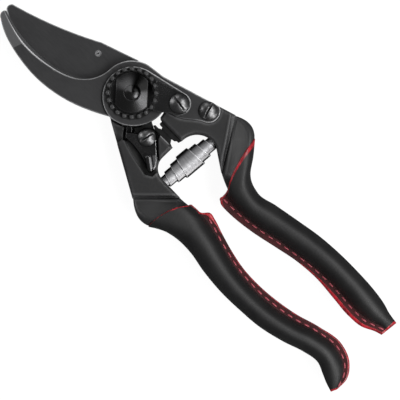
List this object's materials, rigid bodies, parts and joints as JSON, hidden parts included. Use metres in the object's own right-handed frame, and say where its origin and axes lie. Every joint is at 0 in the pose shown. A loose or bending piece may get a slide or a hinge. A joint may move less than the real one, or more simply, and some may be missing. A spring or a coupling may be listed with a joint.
{
  "type": "pruning shears",
  "caption": "One-hand bypass pruning shears with a hooked counter-blade, a curved cutting blade, a toothed adjusting nut, a volute spring, a thumb catch and sewn leather grips.",
  "frame": {"origin": "on the pivot axis, at the underside of the pivot bolt's head, which lies on the table", "axes": "+X from the jaws towards the grips, +Y to the handle that carries the hook, +Z along the pivot to the nut"},
  "size_m": [0.2098, 0.0604, 0.019],
  "materials": {
    "blade_steel": "satin dark grey coating",
    "casting": "satin black coating",
    "black_steel": "glossy blackened steel",
    "bright_steel": "bare steel",
    "spring_steel": "bright nickel plate",
    "rubber": "matte",
    "leather": "smooth black leather, red cut edges and red thread"
  },
  "bodies": {
    "hook_side": {"hook": "blade_steel", "hook_stop_pin": "bright_steel", "upper_handle": "casting", "upper_grip": "leather", "pivot_bolt": "black_steel", "adjusting_nut": "black_steel", "locking_segment": "black_steel", "segment_screw": "black_steel", "hook_screw": "black_steel", "upper_buffer": "rubber", "volute_spring": "spring_steel"},
    "blade_side": {"lower_handle": "casting", "lower_grip": "leather", "cutting_blade": "blade_steel", "blade_rivet": "bright_steel", "lower_buffer": "rubber", "catch_screw": "black_steel", "catch_washer": "bright_steel"},
    "catch": {"thumb_catch": "black_steel"}
  },
  "joints": [
    {"name": "jaw_pivot", "type": "hinge", "parent": "hook_side", "child": "blade_side", "pos_m": [0, 0, 0.0095], "axis": [0, 0, -1], "range_deg": [0, 25], "deforming": ["volute_spring"]},
    {"name": "catch_pivot", "type": "hinge", "parent": "blade_side", "child": "catch", "pos_m": [0.0173, -0.0086, 0.0107], "axis": [0, 0, -1], "range_deg": [0, 9]}
  ]
}
